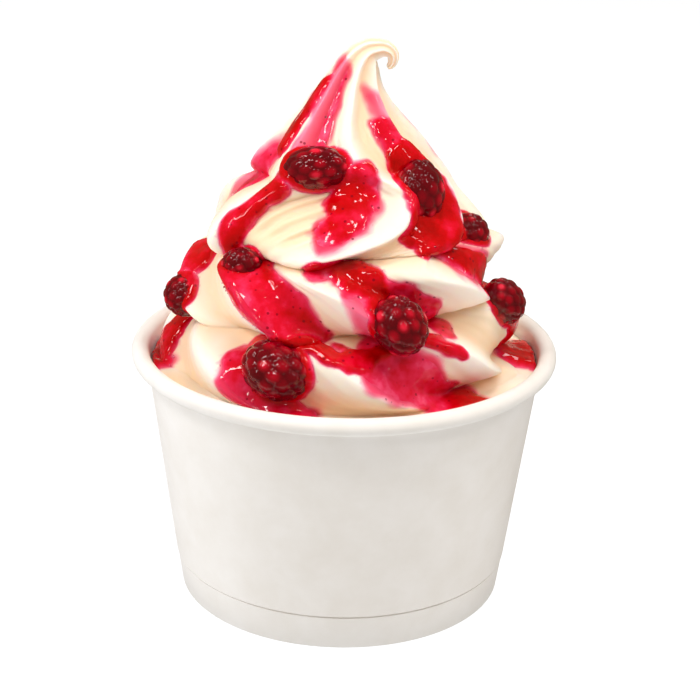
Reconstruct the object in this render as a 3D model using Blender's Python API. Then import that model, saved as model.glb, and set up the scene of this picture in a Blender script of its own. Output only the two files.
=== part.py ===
"""Frozen yogurt cup: a paper cup filled to its rim, a tall soft-serve swirl, berries and berry sauce.

Metres, +Z up. The origin is the middle of the cup's foot, on the table. The viewer stands at -Y, with +X to
their right. Sizes below are in millimetres and angles in degrees; MM turns lengths to metres in each mesh.
An azimuth is measured round the cup from -Y, the front, towards +X, the right.
"""

import math

import bmesh
import bpy
import numpy as np
from mathutils import Euler, Matrix, Vector

MM = 0.001
GAP = 0.3  # clearance between pieces that touch

# Paper cup
CUP_HEIGHT = 58.9
RIM_RADIUS = 48.4
WALL_TOP_RADIUS = 45.4  # outer face of the wall, carried up to the rim's height
WALL_FOOT_RADIUS = 37.5
WALL_THICKNESS = 0.8
BEAD_HEIGHT = 3.8
FOOT_BAND_HEIGHT = 8.4  # the band where the wall is folded over the bottom disc
FOOT_BAND_STEP = 0.3
FOOT_BAND_BEVEL = 0.4
HEM_THICKNESS = 1.5
BOTTOM_THICKNESS = 0.9
CUP_SEGMENTS = 64
BEAD_SEGMENTS = 8

# Yogurt: filled to just under the rim, then a ribbon coiled into three layers and drawn up to a curled tip
FILL_LEVEL = 54.4
SWIRL_BASE = 55.0
SPIRE_BASE = 112.0  # above this height the surface follows the tip's spine
LAYER_PITCH = 15.5
LAYER_MIDDLE = 77.9  # height of the middle of the second layer, at the front
RIDGE_COUNT = 7
RIDGE_STEEP_SHARE = 0.30  # share of a ridge's width taken by its steep right side
RIDGE_ROUNDING = 0.004
RIDGE_SHARPNESS = 1.25
CREASE_SHARPNESS = 0.8
UNEVEN_RIDGES = 4.3  # degrees by which ridges stray from an even spacing
UNEVEN_START = 3.7
# Each pair is a height and the value there: the swirl's outline, its creases and its ridges
OUTLINE = ((53, 40.5), (56, 42.2), (62, 41.4), (70, 38.8), (77, 37.0), (84, 35.8), (88, 33.6), (92, 29.4),
           (95, 26.0), (98, 23.6), (102, 20.6), (106, 17.2), (110, 13.4), (112, 11.6))
CREASE_DEPTH = ((53, 3.0), (60, 5.2), (78, 5.2), (84, 6.0), (90, 5.4), (94, 4.0), (97, 2.6), (100, 1.0),
                (104, 0))
CREASE_OVERHANG = ((55, 0), (60, 0.45), (88, 0.5), (96, 0.3), (100, 0.1), (104, 0))
RIDGE_DEPTH = ((53, 2.0), (60, 5.4), (75, 6.0), (84, 5.2), (90, 4.6), (98, 4.4), (104, 4.0), (112, 2.6))
RIDGE_AZIMUTH = ((45, 100), (53, 84), (62, 57), (67, 43), (73, 24), (79, 5), (83, -12), (87, -17), (92, -13),
                 (97, -3), (101, 6), (106, 4), (118, 3))
# The nozzle swung back as it finished, which turned the front right ridges by this many degrees
FINISHING_TURN = ((80, 0), (84, -4), (87, 6), (90, 24), (94, 40), (97, 42), (100, 28), (104, 10), (109, 0))
TURN_FROM, TURN_MIDDLE, TURN_TO = -62.0, 30.0, 135.0
# The third layer sagged on the right by this much, about this azimuth and height
SAG = 4.5
SAG_AZIMUTH, SAG_SPREAD = 98.0, 75.0
SAG_HEIGHT, SAG_REACH = 87.0, 9.0
# Spine of the curled tip: offset to the right, height and radius
TIP = ((0.0, 112.0, 11.6), (0.5, 115.0, 9.3), (1.0, 118.2, 7.1), (1.8, 121.4, 5.4), (2.9, 123.9, 4.2),
       (4.7, 125.6, 3.0), (7.0, 126.1, 2.25), (8.6, 125.4, 1.7), (9.35, 124.1, 1.35), (9.2, 122.9, 1.1),
       (8.6, 122.1, 0.85), (8.2, 121.8, 0.45))
TIP_BLEND = 5.0  # length over which the rings turn from level to square with the spine
TIP_STEP = 0.05
COLUMNS_PER_RIDGE = 8
ROWS_PER_LAYER = 8
COIL_ROWS = 43
COIL_ROWS_BELOW = 15  # rows under the middle of the second layer
FILL_ROWS = 4
TIP_ROWS = 14
ROW_SNAP = 0.35  # a coil row this near the swirl's base or the spire's foot lies on it
MERGE = 0.01
SETTLING_STEPS = 40

# Thick sauce, as low relief on the yogurt. A run is its points (azimuth, height), its width and its thickness
SAUCE_RUNS = {
    "spire_left": (((-70, 116), (-66, 109), (-70, 104), (-84, 98)), 5.0, 1.0),
    "spire_right": (((45, 114), (41, 108), (43, 103), (51, 98), (50, 94), (46, 90)), 7.0, 1.2),
    "right_fall": (((46, 90), (57, 83), (70, 76), (78, 70), (78, 64), (80, 57)), 6.5, 1.1),
    "left_fall": (((-30, 102), (-46, 98), (-58, 94), (-59, 88), (-53, 82)), 5.0, 1.0),
    "left_slope": (((-53, 82), (-35, 79), (-22, 76), (-11, 71)), 8.0, 0.7),
    "middle_valley": (((-11, 90), (0, 86), (9, 81), (19, 78), (30, 72)), 7.0, 1.0),
    "front_foot": (((21, 69), (27, 65), (35, 61), (42, 55)), 9.0, 0.9),
    "front_left_foot": (((-40, 65), (-27, 66), (-24, 60), (-20, 55)), 10.0, 0.9),
    "left_foot": (((-84, 70), (-88, 63), (-86, 56)), 6.0, 1.0),
    "back_right": (((150, 112), (142, 102), (136, 92), (148, 82), (160, 72), (158, 62), (150, 56)), 7.0, 1.1),
    "back_left": (((-150, 108), (-140, 98), (-128, 88), (-136, 78), (-128, 68), (-118, 57)), 6.5, 1.0),
}
# Sauce that ran down and pooled inside the rim: azimuth where it starts and ends
SAUCE_POOLS = {"right": (48, 98), "left": (-108, -74), "front": (18, 34), "back": (138, 186)}
POOL_THICKNESS = 1.0
POOL_EDGE = 6.0  # degrees over which a pool thins out
SAUCE_BASE_FADE = 4.0

# Berries: azimuth, height, lift of the centre above the yogurt, three half-lengths, turn about the outward axis
BERRIES = {
    "berry_crown": (-24, 103.0, 1.2, (7.3, 4.8, 4.8), 8),
    "berry_upper_right": (50, 97.4, 0.6, (6.0, 7.2, 5.4), -14),
    "berry_right_crease": (80, 85.6, -0.8, (4.7, 4.9, 4.8), 20),
    "berry_middle": (18, 75.5, 1.6, (5.8, 6.9, 6.0), 25),
    "berry_front": (-23, 63.3, 0.8, (7.9, 6.5, 6.4), -12),
    "berry_left_rim": (-80, 71.8, -0.5, (4.8, 4.9, 4.8), 10),
    "berry_left_small": (-48, 81.8, 0.9, (4.8, 3.6, 4.0), 20),
    "berry_right_rim": (77, 70.6, 0.0, (4.4, 5.9, 4.8), 24),
    "berry_back_high": (168, 97.0, 0.8, (6.2, 5.6, 5.2), -30),
    "berry_back_middle": (-144, 80.0, 1.2, (6.6, 6.0, 5.8), 12),
    "berry_back_low": (150, 64.0, 1.0, (6.8, 6.2, 5.8), 52),
}
BERRY_SUBDIVISIONS = 3
DRUPELETS = 30
DRUPELET_DEPTH = 0.15
DRUPELET_REACH = 0.36  # radians from a drupelet's middle to its edge


def clear_scene():
    for obj in list(bpy.data.objects):
        bpy.data.objects.remove(obj, do_unlink=True)


def make_material(name, colour, roughness):
    material = bpy.data.materials.new(name)
    material.use_nodes = True
    shader = material.node_tree.nodes["Principled BSDF"]
    shader.inputs["Base Color"].default_value = (*colour, 1.0)
    shader.inputs["Roughness"].default_value = roughness
    shader.inputs["Metallic"].default_value = 0.0
    return material


def object_from(bm, name, material):
    """Turns a bmesh in millimetres into a smooth-shaded object in metres."""
    bmesh.ops.recalc_face_normals(bm, faces=bm.faces)
    bmesh.ops.scale(bm, vec=(MM, MM, MM), verts=bm.verts)
    mesh = bpy.data.meshes.new(name)
    bm.to_mesh(mesh)
    bm.free()
    mesh.materials.append(material)
    mesh.shade_smooth()
    mesh.set_sharp_from_angle(angle=math.radians(40))
    obj = bpy.data.objects.new(name, mesh)
    bpy.context.scene.collection.objects.link(obj)
    return obj


def smooth_curve(x, points):
    """A smooth curve through (x, y) points that never overshoots them, level beyond its ends."""
    knots, values = np.array(points, float).T
    step = np.diff(knots)
    slope = np.diff(values) / step
    before, after = slope[:-1], slope[1:]
    same_way = before * after > 0
    mean = np.where(same_way, 2 * before * after / np.where(same_way, before + after, 1.0), 0.0)
    tangent = np.concatenate([[slope[0]], mean, [slope[-1]]])
    x = np.clip(x, knots[0], knots[-1])
    i = np.clip(np.searchsorted(knots, x, side="right") - 1, 0, len(step) - 1)
    t = (x - knots[i]) / step[i]
    rise = step[i] * (t * (1 - t) ** 2 * tangent[i] - t**2 * (1 - t) * tangent[i + 1])
    return values[i] * (1 + 2 * t) * (1 - t) ** 2 + values[i + 1] * t**2 * (3 - 2 * t) + rise


def ease(x):
    x = np.clip(x, 0.0, 1.0)
    return x * x * (3 - 2 * x)


def wall_radius(height):
    """Outer radius of the cup's wall at a height."""
    return WALL_FOOT_RADIUS + (WALL_TOP_RADIUS - WALL_FOOT_RADIUS) * height / CUP_HEIGHT


def inner_radius(height):
    return wall_radius(height) - WALL_THICKNESS


def cup_outline():
    """Closed outline of the cup's wall as radius and height: foot, wall, rolled rim, inside, hem."""
    bead_inner = inner_radius(CUP_HEIGHT - BEAD_HEIGHT / 2)
    bead_centre = (RIM_RADIUS + bead_inner) / 2
    half_width = (RIM_RADIUS - bead_inner) / 2
    half_height = BEAD_HEIGHT / 2
    bead_height = CUP_HEIGHT - half_height
    meets_wall = wall_radius(bead_height - half_height)
    start = -math.acos((meets_wall - bead_centre) / half_width)
    points = [
        (WALL_FOOT_RADIUS - FOOT_BAND_STEP, 0.0),
        (wall_radius(FOOT_BAND_HEIGHT) - FOOT_BAND_STEP, FOOT_BAND_HEIGHT - FOOT_BAND_BEVEL),
        (wall_radius(FOOT_BAND_HEIGHT), FOOT_BAND_HEIGHT),
    ]
    for i in range(BEAD_SEGMENTS + 1):
        angle = start + (math.pi - start) * i / BEAD_SEGMENTS
        radius = bead_centre + half_width * math.cos(angle)
        points.append((radius, bead_height + half_height * math.sin(angle)))
    hem_top = FOOT_BAND_HEIGHT - FOOT_BAND_BEVEL
    points.append((inner_radius(hem_top), hem_top))
    points.append((wall_radius(hem_top) - HEM_THICKNESS, hem_top))
    points.append((WALL_FOOT_RADIUS - HEM_THICKNESS, 0.0))
    return points


def build_cup_wall(material):
    bm = bmesh.new()
    corners = [bm.verts.new((radius, 0.0, height)) for radius, height in cup_outline()]
    edges = [bm.edges.new((a, b)) for a, b in zip(corners, corners[1:] + corners[:1])]
    bmesh.ops.spin(
        bm,
        geom=corners + edges,
        axis=(0, 0, 1),
        cent=(0, 0, 0),
        angle=2 * math.pi,
        steps=CUP_SEGMENTS,
        use_merge=True,
    )
    return object_from(bm, "cup_wall", material)


def build_cup_bottom(material):
    low = FOOT_BAND_HEIGHT - FOOT_BAND_BEVEL + GAP
    radius = inner_radius(low) - GAP
    bm = bmesh.new()
    bmesh.ops.create_cone(
        bm,
        cap_ends=True,
        segments=CUP_SEGMENTS,
        radius1=radius,
        radius2=radius,
        depth=BOTTOM_THICKNESS,
        matrix=Matrix.Translation((0, 0, low + BOTTOM_THICKNESS / 2)),
    )
    return object_from(bm, "cup_bottom", material)


def finishing_turn(azimuth, height):
    """Angle by which the last sweep of the nozzle turned the ridges there."""
    degrees = np.degrees((azimuth + np.pi) % (2 * np.pi) - np.pi)
    rising = ease((degrees - TURN_FROM) / (TURN_MIDDLE - TURN_FROM))
    falling = ease((TURN_TO - degrees) / (TURN_TO - TURN_MIDDLE))
    return np.radians(smooth_curve(height, FINISHING_TURN)) * np.where(degrees < TURN_MIDDLE, rising, falling)


def ridge_height(phase):
    """1 on a ridge's crest, at phase 0, and 0 in the valley: steep on the right, a broad face on the left."""
    across = (phase / (2 * np.pi)) % 1.0
    steep = across / RIDGE_STEEP_SHARE * 0.5
    broad = 0.5 + (across - RIDGE_STEEP_SHARE) / (1 - RIDGE_STEEP_SHARE) * 0.5
    place = np.where(across < RIDGE_STEEP_SHARE, steep, broad)
    return 1 - np.sqrt(np.sin(np.pi * place) ** 2 + RIDGE_ROUNDING) ** RIDGE_SHARPNESS


def coil_climb(azimuth, height):
    """How far the coil has climbed there since the front: one layer a turn, less where it sagged."""
    degrees = np.degrees((azimuth - math.radians(SAG_AZIMUTH) + np.pi) % (2 * np.pi) - np.pi)
    sag = ease(1 - np.abs(degrees) / SAG_SPREAD) * ease(1 - np.abs(height - SAG_HEIGHT) / SAG_REACH)
    return LAYER_PITCH * azimuth / (2 * np.pi) - SAG * sag


def uneven(turned):
    return math.radians(UNEVEN_RIDGES) * np.sin(2 * turned + UNEVEN_START)


def ridge_phase(azimuth, height):
    """Where a point lies across the ridges, 2 pi for each ridge."""
    turned = azimuth - np.radians(smooth_curve(height, RIDGE_AZIMUTH)) - finishing_turn(azimuth, height)
    even = turned
    for _ in range(SETTLING_STEPS):
        even = turned - uneven(even)
    return RIDGE_COUNT * even


def follow_ridge(phase, coil, lowest, highest):
    """Azimuth and height where a ridge line crosses a coil line, which climbs one layer a turn."""
    even = phase / RIDGE_COUNT
    azimuth = even + uneven(even)
    turned = azimuth
    height = coil + 0 * azimuth
    for _ in range(SETTLING_STEPS):
        height = np.clip(coil + coil_climb(azimuth, height), lowest, highest)
        height = np.where(height < lowest + ROW_SNAP, lowest, height)
        height = np.where(height > highest - ROW_SNAP, highest, height)
        azimuth = turned + np.radians(smooth_curve(height, RIDGE_AZIMUTH)) + finishing_turn(azimuth, height)
    return azimuth, height


def sauce_thickness(azimuth, height, radius):
    """Thickness of the sauce: each run is rounded across, and the thickest run at a point counts."""
    thickness = np.zeros_like(azimuth)
    for points, width, depth in SAUCE_RUNS.values():
        for (start_azimuth, start_height), (end_azimuth, end_height) in zip(points, points[1:]):
            away = (azimuth - math.radians(start_azimuth) + np.pi) % (2 * np.pi) - np.pi
            along = np.stack([away * radius, height - start_height])
            run = np.stack([math.radians(end_azimuth - start_azimuth) * radius,
                            np.full_like(radius, end_height - start_height)])
            share = np.clip((along * run).sum(0) / (run * run).sum(0), 0.0, 1.0)
            distance = np.sqrt(((along - share * run) ** 2).sum(0))
            thickness = np.maximum(thickness, depth * ease(1.25 - distance / (width / 2)))
    return thickness


def pool_thickness(azimuth):
    """Thickness of the pooled sauce between the swirl and the rim."""
    degrees = np.degrees(azimuth)
    thickness = np.zeros_like(degrees)
    for start, end in SAUCE_POOLS.values():
        inside = (degrees - start) % 360
        edge = np.minimum(inside, (end - start) - inside)
        thickness = np.maximum(thickness, POOL_THICKNESS * ease(edge / POOL_EDGE))
    return thickness


def layered_swirl(azimuth, height, phase):
    """Point of the coiled ribbon's surface, for arrays of azimuths, heights and ridge phases."""
    layer = (height - LAYER_MIDDLE - coil_climb(azimuth, height)) / LAYER_PITCH
    bulge = np.abs(np.cos(np.pi * layer)) ** CREASE_SHARPNESS
    radius = smooth_curve(height, OUTLINE)
    radius = radius - smooth_curve(height, CREASE_DEPTH) * (1 - bulge)
    radius = radius - smooth_curve(height, RIDGE_DEPTH) * (1 - ridge_height(phase))
    radius = radius + sauce_thickness(azimuth, height, radius) * ease((height - SWIRL_BASE) / SAUCE_BASE_FADE)
    overhang = smooth_curve(height, CREASE_OVERHANG) * LAYER_PITCH / (2 * np.pi)
    raised = height + overhang * np.sin(2 * np.pi * layer)
    return np.stack([radius * np.sin(azimuth), -radius * np.cos(azimuth), raised], -1)


def curled_tip(azimuth, along, phase):
    """Point of the spire, whose rings follow a spine that curls over to the right."""
    tip = np.array(TIP)
    length = np.concatenate([[0.0], np.cumsum(np.hypot(np.diff(tip[:, 0]), np.diff(tip[:, 1])))]) + SPIRE_BASE
    offsets, heights, radii = (np.stack([length, tip[:, i]], 1) for i in range(3))
    offset, height, radius = (smooth_curve(along, points) for points in (offsets, heights, radii))
    ahead, behind = along + TIP_STEP, along - TIP_STEP
    lean = smooth_curve(ahead, offsets) - smooth_curve(behind, offsets)
    rise = smooth_curve(ahead, heights) - smooth_curve(behind, heights)
    lean = lean * np.clip((along - SPIRE_BASE) / TIP_BLEND, 0, 1)
    size = np.hypot(lean, rise)
    ridge = smooth_curve(SPIRE_BASE, RIDGE_DEPTH) * radius / TIP[0][2]
    radius = radius - ridge * (1 - ridge_height(phase))
    radius = radius + sauce_thickness(azimuth, along, radius)
    side = radius * np.sin(azimuth)
    return np.stack([offset + side * rise / size, -radius * np.cos(azimuth), height - side * lean / size], -1)


def tip_length():
    tip = np.array(TIP)
    return float(np.hypot(np.diff(tip[:, 0]), np.diff(tip[:, 1])).sum())


def fill_ring(azimuth, row):
    """Rings of the yogurt inside the cup: its underside, its edge at the wall, and the shelf to the swirl."""
    low = FOOT_BAND_HEIGHT - FOOT_BAND_BEVEL + GAP + BOTTOM_THICKNESS + GAP
    pool = pool_thickness(azimuth)
    radius, height = (
        (inner_radius(low) - GAP, low),
        (inner_radius(FILL_LEVEL - 1) - GAP, FILL_LEVEL - 1),
        (inner_radius(FILL_LEVEL) - GAP, FILL_LEVEL + pool),
        (0.6 * inner_radius(FILL_LEVEL) + 0.4 * smooth_curve(SWIRL_BASE, OUTLINE), FILL_LEVEL + 0.2 + pool),
    )[row]
    return np.stack([radius * np.sin(azimuth), -radius * np.cos(azimuth), height + 0 * azimuth], -1)


def yogurt_points(phase, row):
    """Points of one row of the yogurt's skin: first the cup's filling, then the coils, then the tip."""
    if row < FILL_ROWS:
        azimuth, _ = follow_ridge(phase, -LAYER_PITCH * RIDGE_COUNT, SWIRL_BASE, SPIRE_BASE)
        return fill_ring(azimuth, row)
    row -= FILL_ROWS
    if row < COIL_ROWS:
        coil = LAYER_MIDDLE + LAYER_PITCH * ((row - COIL_ROWS_BELOW) / ROWS_PER_LAYER - 0.5)
        azimuth, height = follow_ridge(phase, coil, SWIRL_BASE, SPIRE_BASE)
        return layered_swirl(azimuth, height, phase)
    along = SPIRE_BASE + tip_length() * (row - COIL_ROWS + 1) / TIP_ROWS
    azimuth, _ = follow_ridge(phase, along + LAYER_PITCH * RIDGE_COUNT, along, along)
    return curled_tip(azimuth, np.full(len(azimuth), along), phase)


def build_yogurt(material):
    """One closed skin whose grid follows the ridges and the coils, closed under the foot and at the tip.

    Coil rows that would pass the swirl's base or the spire's foot lie on it there and are merged.
    """
    rows = FILL_ROWS + COIL_ROWS + TIP_ROWS
    columns = RIDGE_COUNT * COLUMNS_PER_RIDGE
    bm = bmesh.new()
    bmesh.ops.create_grid(bm, x_segments=columns, y_segments=rows - 1, size=0.5)
    verts = np.array(list(bm.verts))
    phase = (np.array([v.co.x for v in verts])) * 2 * np.pi * RIDGE_COUNT
    row = np.rint(np.array([v.co.y + 0.5 for v in verts]) * (rows - 1)).astype(int)
    for i in range(rows):
        here = row == i
        for vert, place in zip(verts[here], yogurt_points(phase[here], i)):
            vert.co = Vector(place)
    bmesh.ops.remove_doubles(bm, verts=bm.verts, dist=MERGE)
    bmesh.ops.dissolve_degenerate(bm, edges=bm.edges, dist=MERGE)
    bmesh.ops.holes_fill(bm, edges=[e for e in bm.edges if e.is_boundary], sides=0)
    bmesh.ops.triangulate(bm, faces=bm.faces, quad_method="SHORT_EDGE")
    return object_from(bm, "yogurt_swirl", material)


def swirl_surface(azimuth, height):
    """Point and outward normal of the yogurt at an azimuth in degrees and a height."""
    angle = np.radians(np.array([azimuth, azimuth + 1.0, azimuth]))
    level = np.array([height, height, height + 0.6])
    point, beside, above = layered_swirl(angle, level, ridge_phase(angle, level))
    normal = Vector(beside - point).cross(Vector(above - point)).normalized()
    return Vector(point), normal


def drupelet_centres():
    """Directions of the drupelets, spread evenly over the berry by the golden angle."""
    golden = math.pi * (3 - math.sqrt(5))
    centres = []
    for i in range(DRUPELETS):
        z = 1 - 2 * (i + 0.5) / DRUPELETS
        ring = math.sqrt(1 - z * z)
        centres.append(Vector((ring * math.cos(golden * i), ring * math.sin(golden * i), z)))
    return centres


def berry_bmesh(azimuth, height, lift, half_lengths, turn, grow):
    """A knobbly ball pressed into the swirl; grow swells it evenly, for the pocket that it sits in."""
    point, normal = swirl_surface(azimuth, height)
    outward = Vector((point.x, point.y, 0)).normalized()
    facing = (normal + outward).normalized()
    frame = facing.to_track_quat("Y", "Z").to_matrix().to_4x4()
    turned = frame @ Euler((0, math.radians(turn), 0)).to_matrix().to_4x4()
    place = Matrix.Translation(point + facing * lift) @ turned
    centres = drupelet_centres()
    bm = bmesh.new()
    bmesh.ops.create_icosphere(bm, subdivisions=BERRY_SUBDIVISIONS, radius=1.0)
    for vert in bm.verts:
        direction = vert.co.normalized()
        nearest = max(direction.dot(centre) for centre in centres)
        aside = min(1.0, math.acos(min(1.0, nearest)) / DRUPELET_REACH)
        size = 1.0 if grow else 1 - DRUPELET_DEPTH * aside**2
        width, length, thickness = (half * size + grow for half in half_lengths)
        vert.co = Vector((direction.x * width, direction.y * thickness, direction.z * length))
    bmesh.ops.transform(bm, matrix=place, verts=bm.verts)
    return bm


def cut_pocket(yogurt, name, sizes):
    """Cuts the berry's pocket out of the yogurt, a gap wider than the berry."""
    cutter = object_from(berry_bmesh(*sizes, grow=GAP), name + "_pocket", yogurt.data.materials[0])
    cutter.hide_render = True
    cutter.display_type = "WIRE"
    cut = yogurt.modifiers.new(name + "_pocket", "BOOLEAN")
    cut.operation = "DIFFERENCE"
    cut.solver = "EXACT"
    cut.object = cutter


def main():
    clear_scene()
    paper = make_material("white paperboard", (0.86, 0.84, 0.80), 0.55)
    yogurt_cream = make_material("vanilla frozen yogurt", (0.93, 0.84, 0.70), 0.35)
    berry_skin = make_material("sauced berry", (0.30, 0.005, 0.015), 0.2)
    build_cup_wall(paper)
    build_cup_bottom(paper)
    yogurt = build_yogurt(yogurt_cream)
    for name, sizes in BERRIES.items():
        object_from(berry_bmesh(*sizes, grow=0.0), name, berry_skin)
        cut_pocket(yogurt, name, sizes)


main()
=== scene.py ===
import math
import random

import bmesh
import bpy
import numpy as np
from mathutils import Euler, Matrix, Vector, noise


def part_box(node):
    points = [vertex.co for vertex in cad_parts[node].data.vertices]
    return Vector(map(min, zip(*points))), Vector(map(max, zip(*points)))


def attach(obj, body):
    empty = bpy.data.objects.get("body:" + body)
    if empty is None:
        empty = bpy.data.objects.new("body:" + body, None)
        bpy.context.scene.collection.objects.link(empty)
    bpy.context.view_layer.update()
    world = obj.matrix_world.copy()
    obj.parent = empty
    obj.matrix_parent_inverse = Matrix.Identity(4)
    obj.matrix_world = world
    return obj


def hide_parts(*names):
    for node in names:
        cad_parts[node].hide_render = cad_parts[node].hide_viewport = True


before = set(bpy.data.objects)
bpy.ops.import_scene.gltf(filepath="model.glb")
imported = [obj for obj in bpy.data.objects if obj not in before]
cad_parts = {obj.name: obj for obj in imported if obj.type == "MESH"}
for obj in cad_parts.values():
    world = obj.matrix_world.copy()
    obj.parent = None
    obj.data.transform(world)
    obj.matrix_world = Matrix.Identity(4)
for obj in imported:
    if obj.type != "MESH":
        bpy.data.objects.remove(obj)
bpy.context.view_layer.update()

# Camera
# The picture looks down on the cup by about 21 degrees from a little under half a metre. Its right side
# hangs about one degree low, and the middle of the cup's rim lies a little above and left of its centre.
MM = 0.001
PICTURE_PX = 700
RIM_CENTRE_PX = (344.25, 338.8)
CAMERA_DISTANCE = 427 * MM
CAMERA_ELEVATION = math.radians(20.81)
CAMERA_ROLL = math.radians(1.18)
FOCAL_LENGTH_MM = 96.2
SENSOR_WIDTH_MM = 36.0
CLIP_START = 10 * MM
CLIP_END = 100.0
cup_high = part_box("cup_wall")[1]
rim_middle = Vector((0, 0, cup_high.z))


def look_from(azimuth, elevation, distance, target, roll=0.0):
    """Matrix of something that looks at the target: azimuth 0 is the front, 90 degrees the right."""
    level = math.cos(elevation)
    away = Vector((math.sin(azimuth) * level, -math.cos(azimuth) * level, math.sin(elevation)))
    turned = (-away).to_track_quat("-Z", "Y").to_matrix().to_4x4()
    return Matrix.Translation(target + away * distance) @ turned @ Matrix.Rotation(roll, 4, "Z")


camera_data = bpy.data.cameras.new("camera")
camera_data.lens = FOCAL_LENGTH_MM
camera_data.sensor_width = SENSOR_WIDTH_MM
camera_data.shift_x = 0.5 - RIM_CENTRE_PX[0] / PICTURE_PX
camera_data.shift_y = RIM_CENTRE_PX[1] / PICTURE_PX - 0.5
camera_data.clip_start = CLIP_START
camera_data.clip_end = CLIP_END
camera = bpy.data.objects.new("camera", camera_data)
camera.matrix_world = look_from(0.0, CAMERA_ELEVATION, CAMERA_DISTANCE, rim_middle, CAMERA_ROLL)
bpy.context.scene.collection.objects.link(camera)
bpy.context.scene.camera = camera

# Studio
# A white paper sweep in a warm, dim room, lit by a key light up on the left, by softboxes on both sides and
# above, and by small bright lights that glint in what is wet. The sweep is so bright that the cup hardly
# throws a shadow on it.
LIGHT_TARGET = Vector((0, 0, 75 * MM))
SWEEP_RADIUS = 40.0
SWEEP_SEGMENTS = 64


def linear_colour(hex_colour):
    """Turns an sRGB hex colour such as "f4e8d8" into linear red, green, blue and alpha."""
    channels = [int(hex_colour[i : i + 2], 16) / 255 for i in (0, 2, 4)]
    return (*(c / 12.92 if c <= 0.04045 else ((c + 0.055) / 1.055) ** 2.4 for c in channels), 1.0)


def add_node(tree, kind, settings=None, inputs=None):
    """Adds one node. Each input is given a value, or a socket that is linked to it."""
    node = tree.nodes.new(kind)
    for name, value in (settings or {}).items():
        setattr(node, name, value)
    for name, value in (inputs or {}).items():
        if isinstance(value, bpy.types.NodeSocket):
            tree.links.new(value, node.inputs[name])
        else:
            node.inputs[name].default_value = value
    return node


def new_material(name):
    """A material with no nodes yet, and its node tree."""
    material = bpy.data.materials.new(name)
    material.use_nodes = True
    material.node_tree.nodes.clear()
    return material, material.node_tree


def add_softbox(name, azimuth, elevation, distance, size, watts, colour="ffffff", mirrored=False):
    """Adds a softbox, placed by degrees and metres. Only a mirrored one shows as a highlight in the sauce."""
    light = bpy.data.lights.new(name, "AREA")
    light.shape = "RECTANGLE"
    light.size, light.size_y = size
    light.energy = watts
    light.color = linear_colour(colour)[:3]
    softbox = bpy.data.objects.new(name, light)
    softbox.matrix_world = look_from(math.radians(azimuth), math.radians(elevation), distance, LIGHT_TARGET)
    softbox.visible_glossy = mirrored
    bpy.context.scene.collection.objects.link(softbox)


add_softbox("key light", -55, 52, 0.85, (0.16, 0.16), 1.8, "fffefb", mirrored=True)
add_softbox("left strip", -62, 30, 0.85, (0.035, 0.35), 0.8, "ffffff", mirrored=True)
add_softbox("right strip", 58, 42, 0.85, (0.03, 0.22), 0.5, "ffffff", mirrored=True)
add_softbox("front glint", -14, 40, 0.85, (0.05, 0.11), 0.5, "ffffff", mirrored=True)
add_softbox("high glint", 18, 66, 0.85, (0.11, 0.05), 0.5, "ffffff", mirrored=True)
add_softbox("rim light", 150, 50, 0.9, (0.14, 0.3), 0.8, "ffffff", mirrored=True)
add_softbox("left softbox", -98, 14, 0.8, (0.5, 0.7), 3.8, "f0f6ff")
add_softbox("right softbox", 66, 58, 0.8, (0.4, 0.6), 3.1, "fffdfa")
add_softbox("top softbox", 40, 80, 0.9, (0.5, 0.5), 2.5, "fffdfb")

world = bpy.data.worlds.new("warm room")
bpy.context.scene.world = world
world.use_nodes = True
world.node_tree.nodes.clear()
room = add_node(world.node_tree, "ShaderNodeBackground", inputs={
    "Color": linear_colour("ffe2c4"),
    "Strength": 0.22,
})
add_node(world.node_tree, "ShaderNodeOutputWorld", inputs={"Surface": room.outputs["Background"]})
bpy.context.scene.view_settings.view_transform = "Standard"

sweep_bm = bmesh.new()
bmesh.ops.create_circle(sweep_bm, cap_ends=True, segments=SWEEP_SEGMENTS, radius=SWEEP_RADIUS)
sweep_mesh = bpy.data.meshes.new("white sweep")
sweep_bm.to_mesh(sweep_mesh)
sweep_bm.free()
sweep = bpy.data.objects.new("white_sweep", sweep_mesh)
bpy.context.scene.collection.objects.link(sweep)
sweep_paper, tree = new_material("white studio paper, matt")
shader = add_node(tree, "ShaderNodeBsdfPrincipled", inputs={
    "Base Color": linear_colour("7e8082"),
    "Roughness": 0.9,
    "Specular IOR Level": 0.1,
    "Emission Color": linear_colour("feffff"),
    "Emission Strength": 0.88,
})
add_node(tree, "ShaderNodeOutputMaterial", inputs={"Surface": shader.outputs["BSDF"]})
sweep_mesh.materials.append(sweep_paper)
sweep.visible_glossy = False

# Paper cup
# One wall of white paperboard, wrapped and lapped at the back, rolled outwards at the rim into a bead, and
# folded in at the foot over a recessed bottom disc. The fold shows outside as a band with a fine edge.
GAP = 0.3 * MM
RIM_RADIUS = cup_high.x
CUP_HEIGHT = cup_high.z
WALL_TOP_RADIUS = 45.4 * MM
WALL_FOOT_RADIUS = 37.5 * MM
WALL_THICKNESS = 0.8 * MM
BEAD_HEIGHT = 3.8 * MM
FOOT_BAND_HEIGHT = 8.4 * MM
FOOT_BAND_STEP = 0.15 * MM
FOOT_BAND_EDGE = 0.45 * MM  # height of the groove over the band
FOOT_GROOVE_DEPTH = 0.48 * MM
FOOT_ROUNDING = 0.25 * MM
HEM_THICKNESS = 1.5 * MM
BOTTOM_THICKNESS = 0.9 * MM
CUP_SEGMENTS = 240
BEAD_SEGMENTS = 28
LAP_STEP = 0.25 * MM  # the lapped edge stands proud by this, and the paper eases back to round beyond it
LAP_FADE_DEGREES = 14.0
CUP_SHARP_ANGLE = math.radians(42)


def wall_radius(height):
    """Outer radius of the wall at a height."""
    return WALL_FOOT_RADIUS + (WALL_TOP_RADIUS - WALL_FOOT_RADIUS) * height / CUP_HEIGHT


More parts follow.
